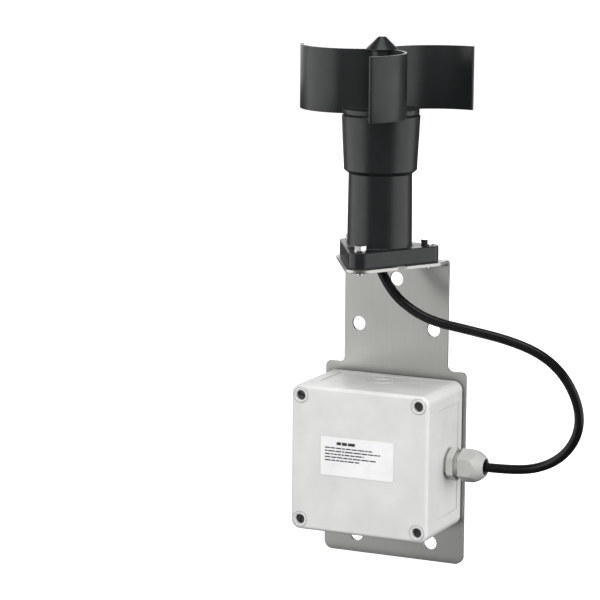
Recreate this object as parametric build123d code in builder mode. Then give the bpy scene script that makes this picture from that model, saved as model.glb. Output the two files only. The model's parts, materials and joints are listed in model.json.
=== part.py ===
from build123d import *
from math import cos, pi, radians, sin, tan
import os

# Three-vane wind speed transmitter on a wall bracket, with its junction box and cable.
# Millimetres, +Z up, +Y towards the wall. The origin is the centre of the four wall holes,
# on the bracket's back face. The sensor's spin axis stands in front of the plate at sensor_y.

os.makedirs("parts", exist_ok=True)

# Fits
touch = 0.02            # radial play of pieces that are pushed together
running = 0.05          # radial play of pieces that turn inside each other
air = 0.5               # gap between pieces that never touch
beyond = 1.0            # how far a cut runs past the face that it opens
pick_band = 1.0         # half the height of the band that edges are picked in

# Bracket
sheet = 2.0
bend_inner_radius = 2.0
wall_hole_span_x = 52.0
wall_hole_span_z = 140.0
wall_hole_radius = 4.5
hang_hole_rise = 31.0       # single top hole above the upper pair
plate_below_holes = 12.0
plate_above_holes = 46.0    # from the upper pair to the platform's top face
narrow_width = 72.0
wide_width = 98.0
shoulder_drop = 72.0        # from the platform's top face
foot_corner_radius = 5.5
shoulder_corner_radius = 3.5
neck_corner_radius = 3.2
platform_margin = 2.0       # platform edge outside the sensor's foot
platform_corner_radius = 6.0
cable_slot_width = 7.0
cable_hole_radius = 6.5

# Sensor body
sensor_reach = 28.0         # spin axis in front of the plate's front face
foot_pitch_radius = 30.0    # circle of the three foot screws
foot_corner = 7.5           # foot corner radius round each screw
foot_thickness = 9.5
foot_edge_fillet = 0.8
gasket_thickness = 1.0
gasket_inset = 0.3
tube_foot_fillet = 1.0
tube_bottom_radius = 20.5
tube_top_radius = 20.0
tube_height = 45.9          # above the foot
tube_bore_radius = 17.5
tube_lower_bore_radius = 15.5
tube_floor = 6.0            # from the foot's underside
board_ledge_depth = 14.0    # ledge below the tube's top end
head_bottom_radius = 23.0
head_top_radius = 24.6
head_chamfer_height = 2.4
head_height = 36.9
head_rim_chamfer = 0.7
head_roof = 4.0
spigot_wall = 2.4
oring_section = 1.5
oring_drop = 5.2            # o-ring centre below the tube's top end
oring_groove_play = 0.3

# Foot screws, M4, on spring washers
foot_screw_radius = 2.0
foot_screw_length = 16.0
foot_screw_flats = 7.0
foot_screw_head = 2.8
foot_screw_turn = 30.0      # puts a corner of each head to the front
foot_screw_tip = 0.4
foot_washer_radius = 3.8
foot_washer_thickness = 1.0
foot_washer_split = 1.0

# Bearings, 5 x 16 x 5
shaft_radius = 2.5
bearing_radius = 8.0
bearing_width = 5.0
bearing_inner_outer_radius = 4.4
bearing_outer_inner_radius = 6.3
ball_radius = 1.25
ball_count = 7
bearing_span = 15.0         # between the two bearings
bearing_drop = 5.6          # upper bearing's top face below the head's top face
bearing_tube_wall = 3.5
bearing_tube_lip = 1.0
bearing_rib_gap = 0.6       # between the rib and the outer rings' bore

# Rotor
rotor_radius = 63.0
rotor_gap = 0.5             # between the head and the rotor
vane_height = 40.4
vane_wall = 2.0
vane_arc = 120.0            # part of a circle that each vane covers in plan
first_vane_angle = 46.8     # chord of the first vane, from +X
vane_count = 3
rotor_disc_radius = 24.0
rotor_disc_thickness = 3.2
hub_radius = 7.5
hub_neck_radius = 4.1
cone_base_radius = 10.0
cone_top_radius = 2.3
cone_rim = 0.6
cone_height = 8.1
cone_thread_depth = 4.0

# Pulse pick-up
circlip_thickness = 0.8
circlip_radius = 4.4
circlip_groove_depth = 0.4
circlip_mouth = 3.2
carrier_drop = 1.5          # magnet carrier below the circlip
shaft_tip = 0.4             # shaft end below the carrier
carrier_hub_radius = 5.0
carrier_hub_height = 8.0
carrier_radius = 12.0
carrier_thickness = 3.6
magnet_radius = 2.0
magnet_length = 2.4
magnet_circle = 8.8
magnet_count = 4
pulse_board_thickness = 1.6
core_hole_radius = 1.5
hall_width = 3.0
hall_length = 4.0
hall_height = 1.5

# Cable
cable_radius = 3.0
bush_body_radius = 5.2
bush_flange_radius = 7.6
bush_flange_thickness = 1.6
bush_nose = 3.6             # below the platform's top face
cable_entry = 0.6           # cable end inside the bush's nose
run_share = 0.45            # part of a run that one corner's arc may use
core_radius = 0.6
core_pitch = 1.6
core_bend = 1.5
core_strip = 4.0            # straight length of a core at each end
core_fan = 3.0              # how much the cores spread towards the pulse board

# Junction box
box_width = 94.0
box_height = 94.0
box_base_depth = 43.0
box_lid_depth = 14.0
box_wall = 2.5
box_floor = 3.0
box_corner_radius = 6.0
box_front_fillet = 2.5
box_back_fillet = 1.0
box_centre_drop = 8.5       # box centre below the wall-hole centre
pillar_inset = 6.75         # pillar centres inside the box's sides
pillar_radius = 5.2
panel_recess = 0.4
panel_margin = 12.0         # from each corner of the box
panel_inset_back = 7.0
panel_inset_split = 3.0
dimple_radius = 0.6
dimple_pitch = 17.4
seal_width = 1.2
seal_depth = 1.4
seal_inset = 0.6
lid_screw_radius = 1.8
lid_screw_head_radius = 2.95
lid_screw_head = 2.6
lid_screw_length = 26.0
lid_screw_recess = 2.2      # head top below the lid's face
lid_screw_bore = 3.2
lid_ring_radius = 5.1
lid_ring_groove = 0.3
lid_slot_width = 0.9
lid_slot_depth = 1.1
lid_slot_turns = (70.0, -25.0, 15.0, 45.0)
box_fixing_x = 72.0
box_fixing_z = 48.0
box_fixing_radius = 2.0
box_fixing_head_radius = 3.8
box_fixing_head = 2.4

# Transmitter board and what it carries
board_width = 62.0
board_height = 76.0
board_thickness = 1.6
board_standoff = 7.0
board_screw_span_x = 54.0
board_screw_span_z = 68.0
board_screw_radius = 1.5
board_screw_head_radius = 2.8
board_screw_head = 1.8
board_screw_gap = 1.0       # between a screw's tip and the box floor
boss_radius = 3.2
cell_radius = 7.25
cell_length = 50.5
cell_nub_radius = 2.6
cell_nub = 1.2
cell_edge = 0.5
contact_width = 8.0
contact_height = 10.0
holder_wall = 1.5
holder_x = -13.0
holder_end = 6.0            # full-height stretch at each end
terminal_x = 22.0
terminal_pole = 5.08
terminal_poles = 3
terminal_depth = 8.2
terminal_rise = 10.0
terminal_screw_radius = 1.6
terminal_screw_length = 3.0
terminal_screw_drop = 1.5
terminal_screw_well = 4.5
terminal_well_gap = 0.3
terminal_screw_offset = 0.6
terminal_slot_width = 0.6
terminal_slot_depth = 0.8
terminal_mouth = 3.0
terminal_mouth_depth = 4.0
terminal_mouth_rise = 3.5
radio_width = 18.0
radio_height = 24.0
radio_rise = 3.2
radio_x = 14.0
radio_z = 22.0
radio_corner = 1.0
antenna_radius = 0.8
antenna_rise = 2.0
antenna_wall_gap = 6.0
antenna_drop = 16.0
antenna_bend = 5.0

# Gland, M16
gland_thread_radius = 8.0
gland_flats = 19.0
gland_drop = 2.0            # gland axis below the box centre
gland_collar = 4.6
gland_collar_chamfer = 1.0
gland_washer_thickness = 1.5
gland_washer_radius = 9.2
gland_pad_margin = 1.0
gland_neck_radius = 8.2
gland_neck_length = 12.0
gland_bore_radius = 4.6
gland_seal_bore_radius = 6.0
gland_seal_length = 7.0     # inside the neck
gland_seal_nose = 1.0       # straight stretch past the neck
gland_seal_taper = 1.2
gland_seal_recess = 0.8     # seal's end inside the nut's mouth
gland_seal_dish = 1.4
gland_nut_gap = 3.2
gland_nut_length = 15.7
gland_nut_shoulder = 5.5    # where the dome starts to cut the corners
gland_dome_middle = 11.5
gland_dome_middle_radius = 9.2
gland_nut_mouth_radius = 5.2
gland_nut_rim = 0.8
gland_nut_roof = 1.6        # inner cone past the neck, start and length
gland_locknut_flats = 22.0
gland_locknut_thickness = 4.0
gland_thread_end = 1.0      # body past the locknut
cable_end_length = 4.0      # jacket past the locknut

# Name plate
plate_width = 50.0
plate_height = 25.0
name_plate_thickness = 0.3
name_plate_x = -1.0
name_plate_rise = 3.0       # above the box's centre
name_plate_corner = 1.0

# Levels and planes that follow from the sizes above
front_face = -sheet
sensor_y = front_face - sensor_reach
plate_bottom = -wall_hole_span_z / 2 - plate_below_holes
platform_top = wall_hole_span_z / 2 + plate_above_holes
platform_bottom = platform_top - sheet
foot_bottom = platform_top + gasket_thickness
foot_top = foot_bottom + foot_thickness
tube_top = foot_top + tube_height
board_ledge = tube_top - board_ledge_depth
board_top = board_ledge + pulse_board_thickness
head_top = tube_top + head_height
upper_bearing_z = head_top - bearing_drop - bearing_width
lower_bearing_z = upper_bearing_z - bearing_span - bearing_width
rotor_bottom = head_top + rotor_gap
rotor_top = rotor_bottom + vane_height
shaft_top = rotor_top + cone_thread_depth - cone_rim
circlip_z = lower_bearing_z - circlip_thickness
carrier_top = circlip_z - carrier_drop
carrier_disc_bottom = carrier_top - carrier_hub_height
shaft_bottom = carrier_disc_bottom - shaft_tip
box_z = -box_centre_drop
box_split = front_face - box_base_depth
box_front = box_split - box_lid_depth
box_side = box_width / 2
box_floor_front = front_face - box_floor
board_back = box_floor_front - board_standoff
board_front = board_back - board_thickness
gland_y = front_face - box_base_depth / 2
gland_z = box_z - gland_drop
collar_x = box_side + gland_washer_thickness
neck_x = collar_x + gland_collar
nut_x = neck_x + gland_nut_gap
nut_end_x = nut_x + gland_nut_length

sensor_axis = Axis((0, sensor_y, 0), (0, 0, 1))
sensor_section = Plane(origin=(0, sensor_y, 0), x_dir=(1, 0, 0), z_dir=(0, -1, 0))
gland_axis = Axis((0, gland_y, gland_z), (1, 0, 0))
gland_section = Plane(origin=(0, gland_y, gland_z), x_dir=(1, 0, 0), z_dir=(0, -1, 0))
box_corners = [
    (x * (box_width / 2 - pillar_inset), box_z + z * (box_height / 2 - pillar_inset))
    for x in (-1, 1)
    for z in (-1, 1)
]


def turned(outline):
    """Solid of revolution about the spin axis, from a closed outline of (radius, z) points."""
    with BuildPart() as piece:
        with BuildSketch(sensor_section):
            with BuildLine():
                Polyline(*outline, close=True)
            make_face()
        revolve(axis=sensor_axis)
    return piece


def turned_on_gland(outline):
    """Solid of revolution about the gland's axis, from a closed outline of (x, radius) points."""
    with BuildPart() as piece:
        with BuildSketch(gland_section):
            with BuildLine():
                Polyline(*outline, close=True)
            make_face()
        revolve(axis=gland_axis)
    return piece


def box_outline(inset, mode=Mode.ADD):
    """The box's outline, drawn in by inset, in the current sketch."""
    RectangleRounded(
        box_width - 2 * inset, box_height - 2 * inset, box_corner_radius - inset, mode=mode
    )


# ---------------------------------------------------------------- bracket
platform_edge = foot_pitch_radius / 2 + foot_corner + platform_margin
platform_side_y = sensor_y + (narrow_width / 2 * cos(radians(30)) - platform_edge) / sin(radians(30))
platform_apex_y = sensor_y - platform_edge / sin(radians(30))
bend_outer_radius = bend_inner_radius + sheet
shoulder_z = platform_top - shoulder_drop
narrow_top = platform_top - bend_outer_radius

with BuildPart() as bracket:
    with BuildSketch(Plane.XZ):
        with BuildLine():
            Polyline(
                (-wide_width / 2, plate_bottom),
                (wide_width / 2, plate_bottom),
                (wide_width / 2, shoulder_z),
                (narrow_width / 2, shoulder_z),
                (narrow_width / 2, narrow_top),
                (-narrow_width / 2, narrow_top),
                (-narrow_width / 2, shoulder_z),
                (-wide_width / 2, shoulder_z),
                close=True,
            )
        make_face()
    extrude(amount=sheet)
    uprights = bracket.edges().filter_by(Axis.Y)
    fillet(uprights.group_by(Axis.Z)[0], foot_corner_radius)
    band = (shoulder_z - pick_band, shoulder_z + pick_band)
    shoulders = bracket.edges().filter_by(Axis.Y).filter_by_position(Axis.Z, *band).sort_by(Axis.X)
    fillet(shoulders[1:3], neck_corner_radius)
    shoulders = bracket.edges().filter_by(Axis.Y).filter_by_position(Axis.Z, *band).sort_by(Axis.X)
    fillet([shoulders[0], shoulders[-1]], shoulder_corner_radius)
    with BuildSketch(Plane.YZ.offset(-narrow_width / 2)):
        with BuildLine():
            Line((0, narrow_top), (-sheet, narrow_top))
            CenterArc((-bend_outer_radius, narrow_top), bend_inner_radius, 0, 90)
            Line((-bend_outer_radius, platform_bottom), (-bend_outer_radius, platform_top))
            CenterArc((-bend_outer_radius, narrow_top), bend_outer_radius, 0, 90)
        make_face()
    extrude(amount=narrow_width)
    with BuildSketch(Plane.XY.offset(platform_bottom)) as platform:
        with BuildLine():
            Polyline(
                (-narrow_width / 2, -bend_outer_radius),
                (narrow_width / 2, -bend_outer_radius),
                (narrow_width / 2, platform_side_y),
                (0, platform_apex_y),
                (-narrow_width / 2, platform_side_y),
                close=True,
            )
        make_face()
        fillet(platform.vertices().sort_by(Axis.Y)[0], foot_corner + platform_margin)
        fillet(platform.vertices().group_by(Axis.Y)[-2], platform_corner_radius)
    extrude(amount=sheet)
    with BuildSketch(Plane.XZ):
        with GridLocations(wall_hole_span_x, wall_hole_span_z, 2, 2):
            Circle(wall_hole_radius)
        with Locations((0, wall_hole_span_z / 2 + hang_hole_rise)):
            Circle(wall_hole_radius)
        with Locations((0, box_z)):
            with GridLocations(box_fixing_x, box_fixing_z, 2, 2):
                Circle(box_fixing_radius + touch)
    extrude(amount=sheet, mode=Mode.SUBTRACT)
    with BuildSketch(Plane.XY.offset(platform_bottom)):
        with Locations((0, sensor_y)):
            Circle(cable_hole_radius)
            with PolarLocations(platform_edge / 2, 1, start_angle=-30):
                Rectangle(platform_edge + 2 * beyond, cable_slot_width)
            with PolarLocations(foot_pitch_radius, 3, start_angle=-90):
                Circle(foot_screw_radius + touch)
    extrude(amount=sheet, mode=Mode.SUBTRACT)
bracket.part.label = "bracket"
export_step(bracket.part, "parts/bracket.step")


# ---------------------------------------------------------------- sensor body
def foot_outline(margin):
    """Rounded triangle round the three foot screws, apex to the front."""
    with Locations((0, sensor_y)):
        RegularPolygon(foot_pitch_radius, 3, rotation=-90)
    offset(amount=foot_corner + margin)


with BuildPart() as sensor_gasket:
    with BuildSketch(Plane.XY.offset(platform_top)):
        foot_outline(-gasket_inset)
        with Locations((0, sensor_y)):
            Circle(cable_hole_radius, mode=Mode.SUBTRACT)
            with PolarLocations(foot_pitch_radius, 3, start_angle=-90):
                Circle(foot_screw_radius + touch, mode=Mode.SUBTRACT)
    extrude(amount=gasket_thickness)
sensor_gasket.part.label = "sensor_gasket"
export_step(sensor_gasket.part, "parts/sensor_gasket.step")

with BuildPart() as sensor_tube:
    with BuildSketch(Plane.XY.offset(foot_bottom)):
        foot_outline(0)
    extrude(amount=foot_thickness)
    fillet(sensor_tube.faces().sort_by(Axis.Z)[-1].edges(), foot_edge_fillet)
    with BuildSketch(sensor_section):
        with BuildLine():
            Polyline(
                (0, foot_bottom),
                (tube_bottom_radius, foot_bottom),
                (tube_bottom_radius, foot_top),
                (tube_top_radius, tube_top),
                (0, tube_top),
                close=True,
            )
        make_face()
    revolve(axis=sensor_axis)
    base_circle = sensor_tube.edges().filter_by(GeomType.CIRCLE)
    base_circle = base_circle.filter_by(lambda edge: abs(edge.radius - tube_bottom_radius) < touch)
    fillet(base_circle.sort_by(Axis.Z)[-1], tube_foot_fillet)
    with BuildSketch(sensor_section):
        with BuildLine():
            Polyline(
                (0, foot_bottom - beyond),
                (bush_body_radius + touch, foot_bottom - beyond),
                (bush_body_radius + touch, foot_bottom + tube_floor),
                (tube_lower_bore_radius, foot_bottom + tube_floor),
                (tube_lower_bore_radius, board_ledge),
                (tube_bore_radius, board_ledge),
                (tube_bore_radius, tube_top + beyond),
                (0, tube_top + beyond),
                close=True,
            )
        make_face()
    revolve(axis=sensor_axis, mode=Mode.SUBTRACT)
    with BuildSketch(Plane.XY.offset(foot_bottom)):
        with Locations((0, sensor_y)):
            with PolarLocations(foot_pitch_radius, 3, start_angle=-90):
                Circle(foot_screw_radius + touch)
    extrude(amount=foot_thickness, mode=Mode.SUBTRACT)
sensor_tube.part.label = "sensor_tube"
export_step(sensor_tube.part, "parts/sensor_tube.step")

spigot_radius = tube_bore_radius - touch
spigot_bore = spigot_radius - spigot_wall
bearing_tube_radius = bearing_radius + bearing_tube_wall
bearing_rib_radius = bearing_outer_inner_radius + bearing_rib_gap
oring_z = tube_top - oring_drop
oring_groove = oring_section / 2 + oring_groove_play
hollow_top = head_top - head_roof
bearing_tube_end = lower_bearing_z - bearing_tube_lip

head_housing = turned(
    [
        (bearing_radius + touch, bearing_tube_end),
        (bearing_tube_radius, bearing_tube_end),
        (bearing_tube_radius, hollow_top),
        (spigot_bore, hollow_top),
        (spigot_bore, board_top),
        (spigot_radius, board_top),
        (spigot_radius, oring_z - oring_groove),
        (tube_bore_radius - oring_section, oring_z - oring_groove),
        (tube_bore_radius - oring_section, oring_z + oring_groove),
        (spigot_radius, oring_z + oring_groove),
        (spigot_radius, tube_top),
        (tube_top_radius, tube_top),
        (head_bottom_radius, tube_top + head_chamfer_height),
        (head_top_radius, head_top - head_rim_chamfer),
        (head_top_radius - head_rim_chamfer, head_top),
        (bearing_radius + touch, head_top),
        (bearing_radius + touch, upper_bearing_z),
        (bearing_rib_radius, upper_bearing_z),
        (bearing_rib_radius, lower_bearing_z + bearing_width),
        (bearing_radius + touch, lower_bearing_z + bearing_width),
    ]
)
head_housing.part.label = "head_housing"
export_step(head_housing.part, "parts/head_housing.step")

with BuildPart() as head_oring:
    with BuildSketch(sensor_section):
        with Locations((tube_bore_radius - oring_section / 2, oring_z)):
            Circle(oring_section / 2 - touch)
    revolve(axis=sensor_axis)
head_oring.part.label = "head_oring"
export_step(head_oring.part, "parts/head_oring.step")

with BuildPart() as foot_screws:
    with BuildSketch(Plane.XY.offset(foot_top + foot_washer_thickness)):
        with Locations((0, sensor_y)):
            with PolarLocations(foot_pitch_radius, 3, start_angle=-90):
                RegularPolygon(foot_screw_flats / 2, 6, major_radius=False, rotation=foot_screw_turn)
    extrude(amount=foot_screw_head)
    with BuildSketch(Plane.XY.offset(foot_top + foot_washer_thickness)):
        with Locations((0, sensor_y)):
            with PolarLocations(foot_pitch_radius, 3, start_angle=-90):
                Circle(foot_screw_radius)
    extrude(amount=-foot_screw_length)
    chamfer(foot_screws.faces().sort_by(Axis.Z)[:3].edges(), foot_screw_tip)
foot_screws.part.label = "foot_screws"
export_step(foot_screws.part, "parts/foot_screws.step")

with BuildPart() as foot_washers:
    with BuildSketch(Plane.XY.offset(foot_top)):
        with Locations((0, sensor_y)):
            with PolarLocations(foot_pitch_radius, 3, start_angle=-90):
                Circle(foot_washer_radius)
                Circle(foot_screw_radius + touch, mode=Mode.SUBTRACT)
            with PolarLocations(foot_pitch_radius, 3, start_angle=-90):
                with Locations((foot_washer_radius, 0)):
                    Rectangle(2 * foot_washer_radius, foot_washer_split, mode=Mode.SUBTRACT)
    extrude(amount=foot_washer_thickness)
foot_washers.part.label = "foot_washers"
export_step(foot_washers.part, "parts/foot_washers.step")


# ---------------------------------------------------------------- bearings and shaft
def ball_bearing(name, z):
    """Inner ring, outer ring and balls of one bearing whose lower face is at z."""
    pitch_radius = (bearing_inner_outer_radius + bearing_outer_inner_radius) / 2
    middle = z + bearing_width / 2
    rings = (
        ("inner", shaft_radius + touch, bearing_inner_outer_radius),
        ("outer", bearing_outer_inner_radius, bearing_radius),
    )
    for side, bore, outside in rings:
        with BuildPart() as ring:
            with BuildSketch(sensor_section):
                with Locations(((bore + outside) / 2, middle)):
                    Rectangle(outside - bore, bearing_width)
                with Locations((pitch_radius, middle)):
                    Circle(ball_radius + running, mode=Mode.SUBTRACT)
            revolve(axis=sensor_axis)
        ring.part.label = f"{name}_bearing_{side}"
        export_step(ring.part, f"parts/{name}_bearing_{side}.step")
    with BuildPart() as balls:
        with Locations((0, sensor_y, middle)):
            with PolarLocations(pitch_radius, ball_count):
                Sphere(ball_radius)
    balls.part.label = f"{name}_bearing_balls"
    export_step(balls.part, f"parts/{name}_bearing_balls.step")


ball_bearing("upper", upper_bearing_z)
ball_bearing("lower", lower_bearing_z)

bearing_spacer = turned(
    [
        (shaft_radius + touch, lower_bearing_z + bearing_width),
        (hub_neck_radius, lower_bearing_z + bearing_width),
        (hub_neck_radius, upper_bearing_z),
        (shaft_radius + touch, upper_bearing_z),
    ]
)
bearing_spacer.part.label = "bearing_spacer"
export_step(bearing_spacer.part, "parts/bearing_spacer.step")

circlip_groove_radius = shaft_radius - circlip_groove_depth
rotor_shaft = turned(
    [
        (0, shaft_bottom),
        (shaft_radius, shaft_bottom),
        (shaft_radius, circlip_z),
        (circlip_groove_radius, circlip_z),
        (circlip_groove_radius, lower_bearing_z),
        (shaft_radius, lower_bearing_z),
        (shaft_radius, shaft_top),
        (0, shaft_top),
    ]
)
rotor_shaft.part.label = "rotor_shaft"
export_step(rotor_shaft.part, "parts/rotor_shaft.step")

with BuildPart() as shaft_circlip:
    with BuildSketch(Plane.XY.offset(circlip_z)):
        with Locations((0, sensor_y)):
            Circle(circlip_radius)
            Circle(circlip_groove_radius + touch, mode=Mode.SUBTRACT)
            with Locations((0, circlip_radius)):
                Rectangle(circlip_mouth, 2 * circlip_radius, mode=Mode.SUBTRACT)
    extrude(amount=circlip_thickness)
shaft_circlip.part.label = "shaft_circlip"
export_step(shaft_circlip.part, "parts/shaft_circlip.step")

# ---------------------------------------------------------------- rotor
vane_radius = rotor_radius / 2 / sin(radians(vane_arc / 2))
vane_centre_drop = vane_radius * cos(radians(vane_arc / 2))

with BuildPart() as vane_rotor:
    with BuildSketch(Plane.XY.offset(rotor_bottom)):
        for turn in range(vane_count):
            angle = first_vane_angle + turn * 360 / vane_count
            along = Vector(cos(radians(angle)), sin(radians(angle)))
            bulge = Vector(-sin(radians(angle)), cos(radians(angle)))
            centre = Vector(0, sensor_y) + along * (rotor_radius / 2) - bulge * vane_centre_drop
            start = angle + 90 - vane_arc / 2
            with BuildSketch(mode=Mode.ADD):
                with BuildLine():
                    outer = CenterArc(centre, vane_radius + vane_wall / 2, start, vane_arc)
                    inner = CenterArc(centre, vane_radius - vane_wall / 2, start, vane_arc)
                    Line(outer @ 0, inner @ 0)
                    Line(outer @ 1, inner @ 1)
                make_face()
    extrude(amount=vane_height)
    with BuildSketch(sensor_section):
        with BuildLine():
            Polyline(
                (0, upper_bearing_z + bearing_width),
                (hub_neck_radius, upper_bearing_z + bearing_width),
                (hub_neck_radius, rotor_bottom),
                (rotor_disc_radius, rotor_bottom),
                (rotor_disc_radius, rotor_bottom + rotor_disc_thickness),
                (hub_radius, rotor_bottom + rotor_disc_thickness),
                (hub_radius, rotor_top - cone_rim),
                (0, rotor_top - cone_rim),
                close=True,
            )
        make_face()
    revolve(axis=sensor_axis)
    with BuildSketch(Plane.XY.offset(upper_bearing_z)):
        with Locations((0, sensor_y)):
            Circle(shaft_radius + touch)
    extrude(amount=2 * vane_height, mode=Mode.SUBTRACT)
    with BuildSketch(Plane.XY.offset(rotor_top - cone_rim)):
        with Locations((0, sensor_y)):
            Circle(cone_base_radius + air)
    extrude(amount=vane_height, mode=Mode.SUBTRACT)
vane_rotor.part.label = "vane_rotor"
export_step(vane_rotor.part, "parts/vane_rotor.step")

cone_bottom = rotor_top - cone_rim
rotor_cone = turned(
    [
        (shaft_radius + touch, cone_bottom),
        (cone_base_radius, cone_bottom),
        (cone_base_radius, cone_bottom + cone_rim),
        (cone_top_radius, cone_bottom + cone_height),
        (0, cone_bottom + cone_height),
        (0, shaft_top),
        (shaft_radius + touch, shaft_top),
    ]
)
rotor_cone.part.label = "rotor_cone"
export_step(rotor_cone.part, "parts/rotor_cone.step")

# ---------------------------------------------------------------- pulse pick-up
with BuildPart() as magnet_carrier:
    with BuildSketch(sensor_section):
        with BuildLine():
            Polyline(
                (shaft_radius + touch, carrier_disc_bottom),
                (carrier_radius, carrier_disc_bottom),
                (carrier_radius, carrier_disc_bottom + carrier_thickness),
                (carrier_hub_radius, carrier_disc_bottom + carrier_thickness),
                (carrier_hub_radius, carrier_top),
                (shaft_radius + touch, carrier_top),
                close=True,
            )
        make_face()
    revolve(axis=sensor_axis)
    with BuildSketch(Plane.XY.offset(carrier_disc_bottom)):
        with Locations((0, sensor_y)):
            with PolarLocations(magnet_circle, magnet_count):
                Circle(magnet_radius + touch)
    extrude(amount=magnet_length, mode=Mode.SUBTRACT)
magnet_carrier.part.label = "magnet_carrier"
export_step(magnet_carrier.part, "parts/magnet_carrier.step")

with BuildPart() as pulse_magnets:
    with BuildSketch(Plane.XY.offset(carrier_disc_bottom)):
        with Locations((0, sensor_y)):
            with PolarLocations(magnet_circle, magnet_count):
                Circle(magnet_radius)
    extrude(amount=magnet_length)
pulse_magnets.part.label = "pulse_magnets"
export_step(pulse_magnets.part, "parts/pulse_magnets.step")

with BuildPart() as pulse_board:
    with BuildSketch(Plane.XY.offset(board_ledge)):
        with Locations((0, sensor_y)):
            Circle(tube_bore_radius - touch)
            with Locations((0, magnet_circle)):
                Circle(core_hole_radius, mode=Mode.SUBTRACT)
    extrude(amount=pulse_board_thickness)
pulse_board.part.label = "pulse_board"
export_step(pulse_board.part, "parts/pulse_board.step")

with BuildPart() as hall_sensor:
    with BuildSketch(Plane.XY.offset(board_top)):
        with Locations((magnet_circle, sensor_y)):
            Rectangle(hall_width, hall_length)
    extrude(amount=hall_height)
hall_sensor.part.label = "hall_sensor"
export_step(hall_sensor.part, "parts/hall_sensor.step")

# ---------------------------------------------------------------- cable and its entries
bush_bottom = platform_top - bush_nose
cable_bush = turned(
    [
        (cable_radius, bush_bottom),
        (bush_body_radius, bush_bottom),
        (bush_body_radius, foot_bottom + tube_floor),
        (bush_flange_radius, foot_bottom + tube_floor),
        (bush_flange_radius, foot_bottom + tube_floor + bush_flange_thickness),
        (cable_radius, foot_bottom + tube_floor + bush_flange_thickness),
    ]
)
cable_bush.part.label = "cable_bush"
export_step(cable_bush.part, "parts/cable_bush.step")

# The cable hangs from the bush in front of the plate, swings out past the box and comes
# back into the gland. Each point's corner is rounded as far as its two runs allow.
cable_points = [
    (0, sensor_y, bush_bottom + cable_entry),
    (6, -30, 101),
    (18, -30, 89.5),
    (36, -30.5, 81),
    (62, -31, 77.6),
    (90, -31, 73.2),
    (111, -30.5, 66),
    (126, -30, 53.5),
    (135, -29, 35),
    (134.5, -27.5, 18),
    (124.5, -25.5, 2.5),
    (108, -23, -7.5),
    (89, gland_y, gland_z),
    (nut_end_x, gland_y, gland_z),
]


def corner_radii(points):
    """A share of the shorter run at each inner point, over the tangent of half its turn."""
    radii = []
    for before, here, after in zip(points, points[1:], points[2:]):
        run_in = Vector(*here) - Vector(*before)
        run_out = Vector(*after) - Vector(*here)
        turn = radians(run_in.get_angle(run_out))
        radii.append(run_share * min(run_in.length, run_out.length) / tan(turn / 2))
    return radii


cable_radii = corner_radii(cable_points)
print("cable radii, mm:", [round(radius, 1) for radius in cable_radii])

with BuildPart() as sensor_cable:
    with BuildLine() as cable_path:
        FilletPolyline(*cable_points, radius=cable_radii)
    cable_run = cable_path.wires()[0]
    with BuildSketch(Plane(origin=cable_run @ 0, z_dir=cable_run % 0)):
        Circle(cable_radius)
    sweep(path=cable_run)
cable_length = cable_run.length
print("cable length, mm:", round(cable_length, 1))
print("cable volume over section times length:",
      round(sensor_cable.part.volume / (pi * cable_radius**2 * cable_length), 4))
sensor_cable.part.label = "sensor_cable"
export_step(sensor_cable.part, "parts/sensor_cable.step")

# ---------------------------------------------------------------- gland
gland_corner_radius = gland_flats / 2 / cos(radians(30))
seal_end_x = neck_x + gland_neck_length
seal_x = seal_end_x - gland_seal_length
wall_inside_x = box_side - box_wall
locknut_end_x = wall_inside_x - gland_locknut_thickness
thread_end_x = locknut_end_x - gland_thread_end


def gland_hexagon():
    """The gland's hexagon in the current sketch, with flats to the front and back."""
    with Locations((gland_y, gland_z)):
        RegularPolygon(gland_flats / 2, 6, major_radius=False, rotation=30)


with BuildPart() as gland_body:
    with BuildSketch(Plane.YZ.offset(collar_x)):
        gland_hexagon()
    extrude(amount=gland_collar)
    with BuildSketch(gland_section):
        with BuildLine():
            Polyline(
                (collar_x, 0),
                (collar_x, gland_corner_radius - gland_collar_chamfer),
                (collar_x + gland_collar_chamfer, gland_corner_radius),
                (neck_x, gland_corner_radius),
                (neck_x, 0),
                close=True,
            )
        make_face()
    revolve(axis=gland_axis, mode=Mode.INTERSECT)
    with BuildSketch(gland_section):
        with BuildLine():
            Polyline(
                (thread_end_x, 0),
                (thread_end_x, gland_thread_radius - touch),
                (collar_x, gland_thread_radius - touch),
                (neck_x, gland_neck_radius),
                (seal_end_x, gland_neck_radius),
                (seal_end_x, 0),
                close=True,
            )
        make_face()
    revolve(axis=gland_axis)
    with BuildSketch(gland_section):
        with BuildLine():
            Polyline(
                (thread_end_x - beyond, 0),
                (thread_end_x - beyond, gland_bore_radius),
                (seal_x, gland_bore_radius),
                (seal_x, gland_seal_bore_radius),
                (seal_end_x + beyond, gland_seal_bore_radius),
                (seal_end_x + beyond, 0),
                close=True,
            )
        make_face()
    revolve(axis=gland_axis, mode=Mode.SUBTRACT)
gland_body.part.label = "gland_body"
export_step(gland_body.part, "parts/gland_body.step")

gland_washer = turned_on_gland(
    [
        (box_side, gland_thread_radius),
        (box_side, gland_washer_radius),
        (collar_x, gland_washer_radius),
        (collar_x, gland_thread_radius),
    ]
)
gland_washer.part.label = "gland_washer"
export_step(gland_washer.part, "parts/gland_washer.step")

with BuildPart() as gland_locknut:
    with BuildSketch(Plane.YZ.offset(wall_inside_x)):
        with Locations((gland_y, gland_z)):
            RegularPolygon(gland_locknut_flats / 2, 6, major_radius=False, rotation=30)
            Circle(gland_thread_radius, mode=Mode.SUBTRACT)
    extrude(amount=-gland_locknut_thickness)
gland_locknut.part.label = "gland_locknut"
export_step(gland_locknut.part, "parts/gland_locknut.step")

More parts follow.
